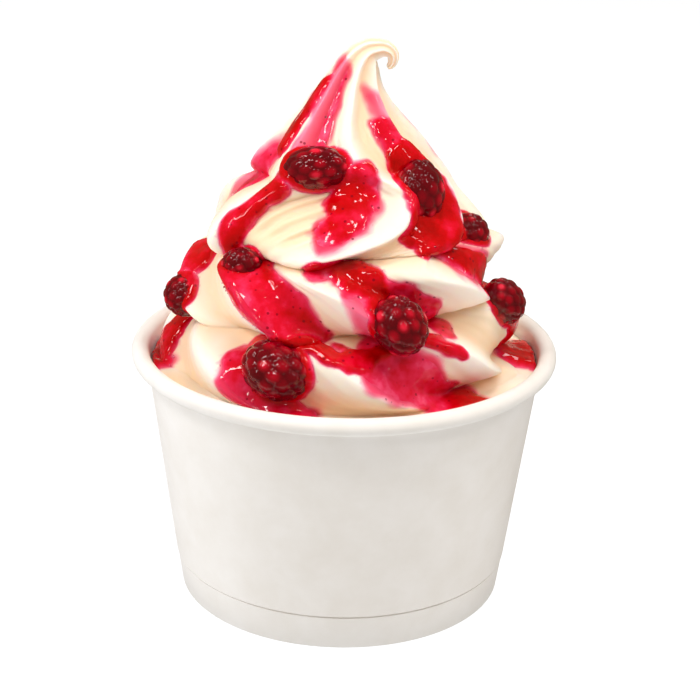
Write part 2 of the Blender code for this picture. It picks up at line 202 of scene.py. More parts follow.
def inner_radius(height):
    """Inner radius of the wall at a height."""
    return wall_radius(height) - WALL_THICKNESS


def cup_outline():
    """Closed outline of the wall as radius and height: foot, band, wall, rolled bead, inside, hem."""
    bead_inner = inner_radius(CUP_HEIGHT - BEAD_HEIGHT / 2)
    bead_centre = (RIM_RADIUS + bead_inner) / 2
    half_width = (RIM_RADIUS - bead_inner) / 2
    half_height = BEAD_HEIGHT / 2
    bead_height = CUP_HEIGHT - half_height
    start = -math.acos((wall_radius(bead_height - half_height) - bead_centre) / half_width)
    edge = FOOT_BAND_HEIGHT - FOOT_BAND_EDGE
    points = [
        (WALL_FOOT_RADIUS - FOOT_BAND_STEP - FOOT_ROUNDING, 0.0),
        (WALL_FOOT_RADIUS - FOOT_BAND_STEP, FOOT_ROUNDING),
        (wall_radius(edge) - FOOT_BAND_STEP, edge),
        (wall_radius(edge) - FOOT_GROOVE_DEPTH, edge + FOOT_BAND_EDGE / 3),
        (wall_radius(edge) - FOOT_GROOVE_DEPTH, edge + FOOT_BAND_EDGE * 2 / 3),
        (wall_radius(FOOT_BAND_HEIGHT), FOOT_BAND_HEIGHT),
    ]
    for i in range(BEAD_SEGMENTS + 1):
        angle = start + (math.pi - start) * i / BEAD_SEGMENTS
        out, up = half_width * math.cos(angle), half_height * math.sin(angle)
        points.append((bead_centre + out, bead_height + up))
    points.append((inner_radius(edge), edge))
    points.append((wall_radius(edge) - HEM_THICKNESS, edge))
    points.append((WALL_FOOT_RADIUS - HEM_THICKNESS, 0.0))
    return points


def finish_piece(bm, name, material, replaced):
    """Makes a smooth-shaded piece that rides with the cup and stands for the CAD nodes it replaces."""
    mesh = bpy.data.meshes.new(name)
    bm.to_mesh(mesh)
    bm.free()
    mesh.materials.append(material)
    mesh.shade_smooth()
    piece = bpy.data.objects.new(name, mesh)
    bpy.context.scene.collection.objects.link(piece)
    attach(piece, "root")
    if replaced:
        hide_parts(*replaced)
    return piece


def make_paperboard():
    """Bleached paperboard with a thin matt coat: faint cloudy fibres, a soft sheen, no pattern."""
    material, tree = new_material("bleached paperboard, matt coated")
    place = add_node(tree, "ShaderNodeTexCoord")
    clouds = add_node(tree, "ShaderNodeTexNoise", inputs={
        "Vector": place.outputs["Object"],
        "Scale": 1 / (9 * MM),
        "Detail": 4.0,
        "Roughness": 0.6,
    })
    tone = add_node(tree, "ShaderNodeValToRGB", inputs={"Fac": clouds.outputs["Fac"]})
    tone.color_ramp.elements[0].position = 0.3
    tone.color_ramp.elements[0].color = linear_colour("e7e3dd")
    tone.color_ramp.elements[1].position = 0.7
    tone.color_ramp.elements[1].color = linear_colour("edeae6")
    # Real fibres are about 0.05 mm wide, so they are drawn 0.7 mm wide to show at all
    fibres = add_node(tree, "ShaderNodeTexNoise", inputs={
        "Vector": place.outputs["Object"],
        "Scale": 1 / (0.7 * MM),
        "Detail": 3.0,
    })
    relief = add_node(tree, "ShaderNodeBump", inputs={
        "Height": fibres.outputs["Fac"],
        "Strength": 0.12,
        "Distance": 0.05 * MM,
    })
    shader = add_node(tree, "ShaderNodeBsdfPrincipled", inputs={
        "Base Color": tone.outputs["Color"],
        "Normal": relief.outputs["Normal"],
        "Roughness": 0.48,
        "Specular IOR Level": 0.35,
    })
    add_node(tree, "ShaderNodeOutputMaterial", inputs={"Surface": shader.outputs["BSDF"]})
    return material


paperboard = make_paperboard()
bm = bmesh.new()
corners = [bm.verts.new((0.0, radius, height)) for radius, height in cup_outline()]
edges = [bm.edges.new((a, b)) for a, b in zip(corners, corners[1:] + corners[:1])]
bmesh.ops.spin(bm, geom=corners + edges, axis=(0, 0, 1), cent=(0, 0, 0), angle=2 * math.pi,
               steps=CUP_SEGMENTS, use_merge=True)
for vert in bm.verts:
    past_lap = math.degrees(math.atan2(vert.co.x, vert.co.y)) % 360
    radius = math.hypot(vert.co.x, vert.co.y)
    on_outside = abs(radius - wall_radius(vert.co.z)) < FOOT_BAND_STEP + GAP
    if on_outside and 0 < past_lap < LAP_FADE_DEGREES and FOOT_ROUNDING < vert.co.z:
        grown = 1 + LAP_STEP * (1 - past_lap / LAP_FADE_DEGREES) / radius
        vert.co.x *= grown
        vert.co.y *= grown
bmesh.ops.recalc_face_normals(bm, faces=bm.faces)
cup_wall = finish_piece(bm, "paper_cup_wall", paperboard, ["cup_wall"])
cup_wall.data.set_sharp_from_angle(angle=CUP_SHARP_ANGLE)

bottom_height = FOOT_BAND_HEIGHT - FOOT_BAND_EDGE + GAP
bottom_radius = inner_radius(bottom_height) - GAP
bm = bmesh.new()
disc_place = Matrix.Translation((0, 0, bottom_height + BOTTOM_THICKNESS / 2))
bmesh.ops.create_cone(bm, cap_ends=True, segments=CUP_SEGMENTS, radius1=bottom_radius, radius2=bottom_radius,
                      depth=BOTTOM_THICKNESS, matrix=disc_place)
cup_bottom = finish_piece(bm, "paper_cup_bottom", paperboard, ["cup_bottom"])
cup_bottom.data.set_sharp_from_angle(angle=CUP_SHARP_ANGLE)

# Frozen yogurt
# A ribbon from a star nozzle with seven ridges, coiled into three layers and drawn up to a curled tip. The
# ridges swing round as the nozzle finished, and each layer sags a little over the one below. Thin sauce has
# stained it pink. Heights, lengths and radii here are in millimetres, until the points are placed.
FILL_LEVEL = 54.4
FILL_EDGE = 1.0  # height of the rounded edge where the yogurt meets the wall
SWIRL_BASE = 55.0
SPIRE_BASE = 112.0
LAYER_PITCH = 15.5
LAYER_MIDDLE = 77.9
RIDGE_COUNT = 7
RIDGE_STEEP_SHARE = 0.30
RIDGE_ROUNDING = 0.004
RIDGE_SHARPNESS = 1.25
CREASE_SHARPNESS = 0.8
UNEVEN_RIDGES = 4.3
UNEVEN_START = 3.7
# Each pair is a height and the value there
OUTLINE = ((53, 40.5), (56, 42.2), (62, 41.4), (70, 38.8), (77, 37.0), (84, 35.8), (88, 33.6), (92, 29.4),
           (95, 26.0), (98, 23.6), (102, 20.6), (106, 17.2), (110, 13.4), (112, 11.6))
CREASE_DEPTH = ((53, 3.0), (60, 5.2), (78, 5.2), (84, 6.0), (90, 5.4), (94, 4.0), (97, 2.6), (100, 1.0),
                (104, 0))
CREASE_OVERHANG = ((55, 0), (60, 0.45), (88, 0.5), (96, 0.3), (100, 0.1), (104, 0))
RIDGE_DEPTH = ((53, 2.0), (60, 5.4), (75, 6.0), (84, 5.2), (90, 4.6), (98, 4.4), (104, 4.0), (112, 2.6))
RIDGE_AZIMUTH = ((45, 100), (53, 84), (62, 57), (67, 43), (73, 24), (79, 5), (83, -12), (87, -17), (92, -13),
                 (97, -3), (101, 6), (106, 4), (118, 3))
FINISHING_TURN = ((80, 0), (84, -4), (87, 6), (90, 24), (94, 40), (97, 42), (100, 28), (104, 10), (109, 0))
TURN_FROM, TURN_MIDDLE, TURN_TO = -62.0, 30.0, 135.0
SAG = 4.5
SAG_AZIMUTH, SAG_SPREAD = 98.0, 75.0
SAG_HEIGHT, SAG_REACH = 87.0, 9.0
# Spine of the curled tip: offset to the right, height and radius
TIP = ((0.0, 112.0, 11.6), (0.5, 115.0, 9.3), (1.0, 118.2, 7.1), (1.8, 121.4, 5.4), (2.9, 123.9, 4.2),
       (4.7, 125.55, 2.95), (7.0, 126.0, 2.2), (8.6, 125.4, 1.7), (9.35, 124.1, 1.35), (9.2, 122.9, 1.1),
       (8.6, 122.1, 0.85), (8.2, 121.8, 0.45))
TIP_BLEND = 5.0
TIP_STEP = 0.05
COLUMNS_PER_RIDGE = 36
ROWS_PER_LAYER = 48
ROWS_BELOW_MIDDLE = 90
COIL_ROWS = 259
FILL_ROWS = 8
TIP_ROWS = 44
ROW_SNAP = 0.12
MERGE = 0.01
SETTLING_STEPS = 40
# Below this height the creases also get painted shade, through the hollow mask
HIGHEST_CREASE = 100.0  # above it the ribbon was drawn up, with no crease left to darken
# Fine grooves that the nozzle left on each ridge's broad face, and broader ones that it combed into the third
# layer's front as it swung round. The ranges give where they start and end, and how they fade in and out.
STRIATIONS = 8
STRIATION_DEPTH = 0.25
STRIATIONS_ACROSS = (0.5, 0.97, 0.12, 0.12)
STRIATIONS_RISE = 4.0
COMBED_GROOVES = 7.5
COMBED_DEPTH = 1.2
COMBED_ACROSS = (0.15, 0.75, 0.08, 0.1)
COMBED_DEGREES = (-68.0, 2.0, 16.0, 16.0)
COMBED_HEIGHTS = (89.0, 100.0, 2.0, 3.0)


def smooth_curve(x, points):
    """A smooth curve through (x, y) points that never overshoots them, level beyond its ends."""
    knots, values = np.array(points, float).T
    step = np.diff(knots)
    slope = np.diff(values) / step
    before, after = slope[:-1], slope[1:]
    same_way = before * after > 0
    mean = np.where(same_way, 2 * before * after / np.where(same_way, before + after, 1.0), 0.0)
    tangent = np.concatenate([[slope[0]], mean, [slope[-1]]])
    x = np.clip(x, knots[0], knots[-1])
    i = np.clip(np.searchsorted(knots, x, side="right") - 1, 0, len(step) - 1)
    t = (x - knots[i]) / step[i]
    rise = step[i] * (t * (1 - t) ** 2 * tangent[i] - t**2 * (1 - t) * tangent[i + 1])
    return values[i] * (1 + 2 * t) * (1 - t) ** 2 + values[i + 1] * t**2 * (3 - 2 * t) + rise


def ease(x):
    """0 below 0 and 1 above 1, with a smooth rise between."""
    x = np.clip(x, 0.0, 1.0)
    return x * x * (3 - 2 * x)


def between(x, start, end, fade_in, fade_out):
    """1 inside a range and 0 outside it, with smooth fades at its start and end."""
    return ease((x - start) / fade_in) * ease((end - x) / fade_out)


def from_front(azimuth):
    """The azimuth in degrees, between minus and plus half a turn from the front."""
    return np.degrees((azimuth + np.pi) % (2 * np.pi) - np.pi)


def ring_points(radius, azimuth, height):
    """Points at a distance from the cup's axis, an azimuth and a height."""
    return np.stack([radius * np.sin(azimuth), -radius * np.cos(azimuth), height + 0 * azimuth], -1)


def finishing_turn(azimuth, height):
    """Angle by which the last sweep of the nozzle turned the front right ridges."""
    degrees = from_front(azimuth)
    rising = ease((degrees - TURN_FROM) / (TURN_MIDDLE - TURN_FROM))
    falling = ease((TURN_TO - degrees) / (TURN_TO - TURN_MIDDLE))
    turn = np.radians(smooth_curve(height, FINISHING_TURN))
    return turn * np.where(degrees < TURN_MIDDLE, rising, falling)


def ridge_share(phase):
    """0 at a ridge's crest, rising evenly to 1 at the next crest."""
    return (phase / (2 * np.pi)) % 1.0


def across_ridge(phase):
    """0 at a ridge's crest, 0.5 in the valley on its steep right side, 1 at the next crest."""
    across = ridge_share(phase)
    steep = across / RIDGE_STEEP_SHARE * 0.5
    broad = 0.5 + (across - RIDGE_STEEP_SHARE) / (1 - RIDGE_STEEP_SHARE) * 0.5
    return np.where(across < RIDGE_STEEP_SHARE, steep, broad)


def ridge_height(phase):
    """1 on a ridge's crest and 0 in the valley."""
    return 1 - np.sqrt(np.sin(np.pi * across_ridge(phase)) ** 2 + RIDGE_ROUNDING) ** RIDGE_SHARPNESS


def coil_climb(azimuth, height):
    """How far the coil has climbed since the front: one layer a turn, less where it sagged."""
    degrees = from_front(azimuth - math.radians(SAG_AZIMUTH))
    sag = ease(1 - np.abs(degrees) / SAG_SPREAD) * ease(1 - np.abs(height - SAG_HEIGHT) / SAG_REACH)
    return LAYER_PITCH * azimuth / (2 * np.pi) - SAG * sag


def uneven(turned):
    """How far a ridge strays from even spacing, as an angle."""
    return math.radians(UNEVEN_RIDGES) * np.sin(2 * turned + UNEVEN_START)


def ridge_phase(azimuth, height):
    """Where a point lies across the ridges, 2 pi for each ridge."""
    turned = azimuth - np.radians(smooth_curve(height, RIDGE_AZIMUTH)) - finishing_turn(azimuth, height)
    even = turned
    for _ in range(SETTLING_STEPS):
        even = turned - uneven(even)
    return RIDGE_COUNT * even


def follow_ridge(phase, coil, lowest, highest):
    """Azimuth and height where a ridge line crosses a coil line, which climbs one layer a turn."""
    even = phase / RIDGE_COUNT
    azimuth = even + uneven(even)
    turned = azimuth
    height = coil + 0 * azimuth
    for _ in range(SETTLING_STEPS):
        height = np.clip(coil + coil_climb(azimuth, height), lowest, highest)
        height = np.where(height < lowest + ROW_SNAP, lowest, height)
        height = np.where(height > highest - ROW_SNAP, highest, height)
        azimuth = turned + np.radians(smooth_curve(height, RIDGE_AZIMUTH)) + finishing_turn(azimuth, height)
    return azimuth, height


def layer_bulge(azimuth, height):
    """1 on the fullest part of a layer and 0 in the crease between layers, and how many layers up it is."""
    layer = (height - LAYER_MIDDLE - coil_climb(azimuth, height)) / LAYER_PITCH
    return np.abs(np.cos(np.pi * layer)) ** CREASE_SHARPNESS, layer


def striations(phase):
    """1 in the fine grooves on a ridge's broad face and 0 between them."""
    across = across_ridge(phase)
    return between(across, *STRIATIONS_ACROSS) * np.sin(np.pi * STRIATIONS * across) ** 2


def combed_grooves(azimuth, height, phase):
    """1 in the broader grooves at the third layer's front, and 0 between and away from them."""
    share = ridge_share(phase)
    here = between(share, *COMBED_ACROSS) * between(from_front(azimuth), *COMBED_DEGREES)
    here = here * between(height, *COMBED_HEIGHTS)
    return here * np.sin(np.pi * COMBED_GROOVES * share) ** 2


def layered_swirl(azimuth, height, phase):
    """Point of the coiled ribbon's surface, for arrays of azimuths, heights and ridge phases."""
    bulge, layer = layer_bulge(azimuth, height)
    radius = smooth_curve(height, OUTLINE)
    radius = radius - smooth_curve(height, CREASE_DEPTH) * (1 - bulge)
    radius = radius - smooth_curve(height, RIDGE_DEPTH) * (1 - ridge_height(phase))
    radius = radius - STRIATION_DEPTH * striations(phase) * ease((height - SWIRL_BASE) / STRIATIONS_RISE)
    radius = radius - COMBED_DEPTH * combed_grooves(azimuth, height, phase)
    overhang = smooth_curve(height, CREASE_OVERHANG) * LAYER_PITCH / (2 * np.pi)
    return ring_points(radius, azimuth, height + overhang * np.sin(2 * np.pi * layer))


def tip_lengths():
    """Length along the spine of the tip, from the spire's base to each of its points."""
    tip = np.array(TIP)
    return np.concatenate([[0.0], np.cumsum(np.hypot(np.diff(tip[:, 0]), np.diff(tip[:, 1])))])


def curled_tip(azimuth, along, phase):
    """Point of the spire, whose rings follow a spine that curls over to the right."""
    length = tip_lengths() + SPIRE_BASE
    offsets, heights, radii = (np.stack([length, values], 1) for values in np.array(TIP).T)
    offset, height, radius = (smooth_curve(along, points) for points in (offsets, heights, radii))
    ahead, behind = along + TIP_STEP, along - TIP_STEP
    lean = smooth_curve(ahead, offsets) - smooth_curve(behind, offsets)
    rise = smooth_curve(ahead, heights) - smooth_curve(behind, heights)
    lean = lean * np.clip((along - SPIRE_BASE) / TIP_BLEND, 0, 1)
    size = np.hypot(lean, rise)
    ridge = smooth_curve(SPIRE_BASE, RIDGE_DEPTH) * radius / TIP[0][2]
    radius = radius - ridge * (1 - ridge_height(phase))
    side = radius * np.sin(azimuth)
    across, up = offset + side * rise / size, height - side * lean / size
    return np.stack([across, -radius * np.cos(azimuth), up], -1)


def fill_ring(azimuth, row):
    """One ring of the yogurt in the cup: its underside, its edge at the wall, or the shelf to the swirl."""
    low = (bottom_height + BOTTOM_THICKNESS + GAP) / MM
    edge = (inner_radius(FILL_LEVEL * MM) - GAP) / MM
    if row == 0:
        height = low
        radius = (inner_radius(height * MM) - GAP) / MM
    elif row == 1:
        height = FILL_LEVEL - FILL_EDGE
        radius = (inner_radius(height * MM) - GAP) / MM
    else:
        share = (row - 2) / (FILL_ROWS - 2)
        radius = edge + (smooth_curve(SWIRL_BASE, OUTLINE) - edge) * share
        height = FILL_LEVEL + (SWIRL_BASE - FILL_LEVEL) * share**2
    return ring_points(radius, azimuth, height)


def swirl_rows():
    """Every row of the yogurt's skin as points, azimuths, heights and phases."""
    phase = np.linspace(-0.5, 0.5, RIDGE_COUNT * COLUMNS_PER_RIDGE + 1) * 2 * np.pi * RIDGE_COUNT
    far_coil = LAYER_PITCH * RIDGE_COUNT
    rows = []
    for i in range(FILL_ROWS):
        azimuth, _ = follow_ridge(phase, -far_coil, SWIRL_BASE, SPIRE_BASE)
        points = fill_ring(azimuth, i)
        rows.append((points, azimuth, points[:, 2], phase))
    for i in range(COIL_ROWS):
        coil = LAYER_MIDDLE + LAYER_PITCH * ((i - ROWS_BELOW_MIDDLE) / ROWS_PER_LAYER - 0.5)
        azimuth, height = follow_ridge(phase, coil, SWIRL_BASE, SPIRE_BASE)
        rows.append((layered_swirl(azimuth, height, phase), azimuth, height, phase))
    for i in range(1, TIP_ROWS + 1):
        along = SPIRE_BASE + tip_lengths()[-1] * i / TIP_ROWS
        azimuth, _ = follow_ridge(phase, along + far_coil, along, along)
        points = curled_tip(azimuth, np.full(len(azimuth), along), phase)
        rows.append((points, azimuth, np.full(len(azimuth), along), phase))
    return [np.stack(part) for part in zip(*rows)]


def grid_from_rows(points, **attributes):
    """A grid whose rows and columns are laid on the given points, with its named values at each point."""
    row_count, column_count = points.shape[:2]
    bm = bmesh.new()
    bmesh.ops.create_grid(bm, x_segments=column_count - 1, y_segments=row_count - 1, size=0.5)
    layers = {name: bm.verts.layers.float.new(name) for name in attributes}
    for vert in bm.verts:
        i = round((vert.co.y + 0.5) * (row_count - 1))
        j = round((vert.co.x + 0.5) * (column_count - 1))
        vert.co = points[i, j]
        for name, layer in layers.items():
            vert[layer] = attributes[name][i, j]
    bmesh.ops.remove_doubles(bm, verts=bm.verts, dist=MERGE)
    bmesh.ops.dissolve_degenerate(bm, edges=bm.edges, dist=MERGE)
    return bm


# Berries, as places
# Eleven whole berries, which lie where they fell and sank a little into the yogurt. Sauce clings round each,
# so their places come before the sauce. Each is azimuth, height, lift of the centre above the yogurt, three
# half-lengths, and turn about the outward axis, in degrees and millimetres.
BERRIES = {
    "berry_crown": (-24, 103.0, 1.2, (7.3, 4.8, 4.8), 8),
    "berry_upper_right": (50, 97.4, 0.6, (6.0, 7.2, 5.4), -14),
    "berry_right_crease": (80, 85.6, -0.8, (4.7, 4.9, 4.8), 20),
    "berry_middle": (18, 75.5, 1.6, (5.8, 6.9, 6.0), 25),
    "berry_front": (-23, 63.3, 0.8, (7.9, 6.5, 6.4), -12),
    "berry_left_rim": (-80, 71.8, -0.5, (4.8, 4.9, 4.8), 10),
    "berry_left_small": (-48, 81.8, 0.9, (4.8, 3.6, 4.0), 20),
    "berry_right_rim": (77, 70.6, 0.0, (4.4, 5.9, 4.8), 24),
    "berry_back_high": (168, 97.0, 0.8, (6.2, 5.6, 5.2), -30),
    "berry_back_middle": (-144, 80.0, 1.2, (6.6, 6.0, 5.8), 12),
    "berry_back_low": (150, 64.0, 1.0, (6.8, 6.2, 5.8), 52),
}
# Steps aside and up the yogurt, between which a berry's outward direction is worked out
ASIDE_DEGREES = 1.0
STEP_UP = 0.6


def berry_place(azimuth, height, lift, turn):
    """Matrix that sets a berry on the swirl, its y axis facing outwards."""
    angle = np.radians(np.array([azimuth, azimuth + ASIDE_DEGREES, azimuth]))
    level = np.array([height, height, height + STEP_UP])
    point, beside, above = layered_swirl(angle, level, ridge_phase(angle, level))
    normal = Vector(beside - point).cross(Vector(above - point)).normalized()
    point = Vector(point)
    facing = (normal + Vector((point.x, point.y, 0)).normalized()).normalized()
    stood = facing.to_track_quat("Y", "Z").to_matrix().to_4x4()
    turned = Euler((0, math.radians(turn), 0)).to_matrix().to_4x4()
    return Matrix.Translation(point + facing * lift) @ stood @ turned


# Berry sauce, as a depth
# The sauce was spooned over the tip and ran down the valleys between the ridges, thick where it gathered and
# a pink film where it slid off. A run is its points (azimuth in degrees, height), then its half width, its
# depth and the width of its soft edge, in millimetres.
SAUCE_RUNS = {
    "peak left": (((-70, 116), (-77, 112), (-74, 109), (-70, 106)), 2.8, 2.3, 1.8),
    "peak left end": (((-70, 106), (-80, 103.5), (-88, 99.5), (-97, 94.5)), 2.4, 1.0, 2.0),
    "peak left film": (((-80, 104), (-92, 99), (-102, 94)), 3.4, 0.45, 3.0),
    "peak film": (((-38, 120), (-34, 115), (-33, 111), (-36, 107)), 3.4, 0.6, 2.0),
    "peak right start": (((43, 117), (43, 112)), 1.9, 0.65, 2.4),
    "peak right": (((43, 110.5), (43, 107), (50, 104)), 2.8, 1.7, 2.0),
    "upper right": (((50, 104), (52, 99.5), (47, 96), (41, 93)), 4.6, 2.8, 1.4),
    "upper right edge": (((60, 103), (66, 99), (64, 95), (57, 91)), 2.0, 2.4, 1.4),
    "upper right foot": (((56, 93.5), (51, 90.5)), 2.8, 2.3, 1.6),
    "upper right lobe": (((40, 93), (34, 91.5)), 2.4, 2.4, 1.4),
    "right slope": (((38, 89), (45, 88.5), (52, 84.5), (61, 82), (72, 79), (80, 74)), 2.6, 2.0, 1.6),
    "right slope film": (((51, 84.5), (60, 82), (72, 79)), 3.8, 0.6, 2.5),
    "right foot": (((86, 72), (84, 66), (90, 61), (95, 56)), 2.4, 2.4, 1.2),
    "upper stream": (((-38, 102), (-50, 100)), 1.5, 1.4, 1.2),
    "peak stripe": (((8, 101.5), (9, 99), (4, 97), (-2, 95.3)), 3.9, 1.9, 2.0),
    "stripe end": (((0, 95), (-6, 93), (-10, 91.5)), 2.4, 1.0, 2.4),
    "swept film": (((14, 97), (8, 95.5), (2, 93.5)), 2.2, 0.6, 2.0),
    "left run": (((-42, 99), (-50, 95.8), (-54.5, 93), (-57, 90.8), (-57, 87.5), (-54, 83)), 2.3, 2.2, 1.8),
    "left slope": (((-46, 82), (-37, 79.5), (-28, 77.5), (-21, 75.5), (-13, 72)), 3.9, 1.5, 2.2),
    "left slope edge": (((-52, 81), (-43, 78.5), (-36, 76.5), (-29, 74.5), (-23, 72.5)), 1.4, 1.6, 1.4),
    "front valley": (((-12, 86.3), (-6, 85.5), (1, 83.5), (8, 82), (13, 80.3)), 2.7, 2.5, 1.6),
    "front valley end": (((14, 80.5), (25, 80), (35, 76), (42, 70)), 2.2, 1.3, 1.4),
    "front valley film": (((3, 80.5), (6, 79), (8, 76.5), (10, 72)), 2.5, 0.75, 2.2),
    "middle crease": (((-24, 72), (-14, 70.5), (-7, 68), (0, 66.8), (8, 66), (18, 67)), 1.2, 2.4, 1.0),
    "front right foot": (((12, 66), (20, 65), (28, 62), (36, 57)), 4.6, 1.0, 1.8),
    "front right crease": (((28, 69.8), (33, 68.5), (40, 67)), 1.2, 2.0, 1.0),
    "front left foot": (((-38, 63), (-33, 60), (-26, 58), (-17, 56.5)), 3.0, 1.3, 1.6),
    "front left top": (((-36, 66), (-26, 67.5), (-16, 67.5)), 2.2, 1.2, 1.4),
    "left foot": (((-90, 67), (-91, 62), (-88, 59), (-84, 56)), 3.2, 2.4, 1.2),
    "left shoulder": (((-94, 81), (-88, 79), (-84, 77.5)), 2.8, 2.2, 1.4),
    "back right": (((150, 116), (142, 104), (136, 94), (148, 84), (160, 74), (158, 64), (150, 55)),
                   3.2, 2.2, 1.6),
    "back right film": (((130, 108), (122, 96), (128, 84), (140, 72)), 5.0, 0.5, 3.0),
    "back left": (((-150, 112), (-140, 100), (-128, 89), (-136, 79), (-128, 68), (-118, 55)), 3.0, 2.0, 1.6),
    "back left film": (((-165, 104), (-158, 92), (-160, 80), (-150, 70)), 4.5, 0.6, 3.0),
}
# Sauce pooled inside the rim: azimuth where it starts and ends, and its depth
SAUCE_POOLS = ((32, 54, 2.2), (80, 108, 2.4), (-106, -74, 2.4), (-30, -6, 1.3), (130, 190, 2.4),
               (-150, -120, 2.0))
POOL_EDGE_DEGREES = 6.0
POOL_TOP = 58.0
POOL_FADE = 3.0
LOWEST_SAUCE = FILL_LEVEL - 0.5
AXIS_MARGIN = 0.5  # added to a point's distance from the axis, where lengths round it are measured
JOINING_POWER = 4  # runs that meet flow into one another, the more softly the lower this is
DEPTH_ON_RIDGE = 0.7  # share of a run's depth that stays on a ridge
DEPTH_HOLLOW_ADDS = 0.6  # and what a hollow adds to that share
COLLAR_DEPTH = 2.4  # sauce that clings round each berry
COLLAR_REACH = 1.22
COLLAR_WANDER = 0.06
EDGE_WANDER = 0.9  # how far the sauce's edges stray from a run's even width
WANDER_SIZE = 5.0
WANDER_SEED = 3.0
RIPPLE_SIZE = 1.9
RIPPLE_SEED = 8.0
RIPPLE_GAIN = 0.25
NOISE_GAIN = 1.6  # brings the noise to between about -1 and 1
REFINED_EDGE = 0.45  # edges longer than this, across which the depth changes by the step, are halved
REFINED_STEP = 0.25
REFINEMENTS = 2


def run_distance(azimuth, height, radius, points):
    """Distance over the surface from a run's centre line, in millimetres."""
    nearest = np.full(azimuth.shape, np.inf)
    for (start_azimuth, start_height), (end_azimuth, end_height) in zip(points, points[1:]):
        away = (azimuth - math.radians(start_azimuth) + np.pi) % (2 * np.pi) - np.pi
        across, up = away * radius, height - start_height
        run_across, run_up = math.radians(end_azimuth - start_azimuth) * radius, end_height - start_height
        share = np.clip((across * run_across + up * run_up) / (run_across**2 + run_up**2), 0.0, 1.0)
        nearest = np.minimum(nearest, np.hypot(across - share * run_across, up - share * run_up))
    return nearest


def wander(points, size, seed):
    """Smooth unevenness between about -1 and 1, whose lumps are the given size."""
    shift = Vector((seed, seed, seed))
    return NOISE_GAIN * np.array([noise.noise(Vector(point) / size + shift) for point in points])


def sauce_depth(points, height, hollow):
    """Depth of the sauce at points of the yogurt's skin, in millimetres."""
    azimuth = np.arctan2(points[:, 0], -points[:, 1])
    around = np.hypot(points[:, 0], points[:, 1]) + AXIS_MARGIN
    ripple = RIPPLE_GAIN * wander(points, RIPPLE_SIZE, RIPPLE_SEED)
    strayed = EDGE_WANDER * (wander(points, WANDER_SIZE, WANDER_SEED) + ripple)
    depth = np.zeros_like(azimuth)
    for run, half_width, run_depth, soft in SAUCE_RUNS.values():
        inside = half_width - run_distance(azimuth, height, around, run) + strayed
        depth += (run_depth * ease(inside / soft + 0.5)) ** JOINING_POWER
    near_rim = ease((POOL_TOP - height) / POOL_FADE)
    for start, end, pool_depth in SAUCE_POOLS:
        past = (np.degrees(azimuth) - start) % 360
        edge = np.minimum(past, (end - start) - past)
        depth += (pool_depth * ease(edge / POOL_EDGE_DEGREES) * near_rim) ** JOINING_POWER
    depth = depth ** (1 / JOINING_POWER) * (DEPTH_ON_RIDGE + DEPTH_HOLLOW_ADDS * hollow)
    for berry_azimuth, berry_height, lift, (width, length, thickness), turn in BERRIES.values():
        into = np.array(berry_place(berry_azimuth, berry_height, lift, turn).inverted())
        local = points @ into[:3, :3].T + into[:3, 3]
        reach = np.sqrt(((local / np.array([width, thickness, length])) ** 2).sum(-1))
        reach = reach - COLLAR_WANDER * strayed
        depth = np.maximum(depth, COLLAR_DEPTH * ease((COLLAR_REACH - reach) / (COLLAR_REACH - 1.0)))
    return np.where(height < LOWEST_SAUCE, 0.0, depth)


def pour_sauce(bm):
    """Works out the sauce's depth at every point of the skin."""
    level, hollow_here, film = (bm.verts.layers.float[name] for name in ("level", "hollow", "film"))
    places = np.array([vert.co for vert in bm.verts])
    levels = np.array([vert[level] for vert in bm.verts])
    hollows = np.array([vert[hollow_here] for vert in bm.verts])
    for vert, depth in zip(bm.verts, sauce_depth(places, levels, hollows)):
        vert[film] = depth


points, azimuth, height, phase = swirl_rows()
bulge, _ = layer_bulge(azimuth, height)
crease = np.where(height < HIGHEST_CREASE, 1 - bulge, 0.0)
groove = combed_grooves(azimuth, height, phase)
# The hollow mask tells where sauce gathers deeper, and is also where warm shade is painted on the yogurt
hollow = np.clip(np.maximum(1 - ridge_height(phase), crease) + groove, 0, 1)
swirl = grid_from_rows(points, level=height, hollow=hollow, film=0 * height)
bmesh.ops.holes_fill(swirl, edges=[edge for edge in swirl.edges if edge.is_boundary], sides=0)
bmesh.ops.triangulate(swirl, faces=swirl.faces, quad_method="SHORT_EDGE")
film_layer = swirl.verts.layers.float["film"]
pour_sauce(swirl)
for _ in range(REFINEMENTS):
    steep = [edge for edge in swirl.edges if edge.calc_length() > REFINED_EDGE
             and abs(edge.verts[0][film_layer] - edge.verts[1][film_layer]) > REFINED_STEP]
    bmesh.ops.subdivide_edges(swirl, edges=steep, cuts=1)
    bmesh.ops.triangulate(swirl, faces=swirl.faces, quad_method="SHORT_EDGE")
    pour_sauce(swirl)
bmesh.ops.recalc_face_normals(swirl, faces=swirl.faces)

# What the sauce and the stained yogurt look like
# Sauce of boiled berries takes the green and blue out of the light that passes through it to the yogurt and
# back, so a thin film is pink, a run is crimson and a deep pool is dark wine.
YOGURT_COLOUR = "fcf2e8"
SAUCE_ABSORPTION = (0.22, 3.4, 2.1)  # for red, green and blue, each millimetre
SAUCE_DEEPEST = 6.0
RAMP_DEPTHS = (0, 0.08, 0.2, 0.4, 0.7, 1.1, 1.7, 2.6, 4.0, 6.0)
SEED_SPACING = 2.0 * MM
SEEDLESS_SHARE = 0.3
SEED_STRENGTH = 0.75


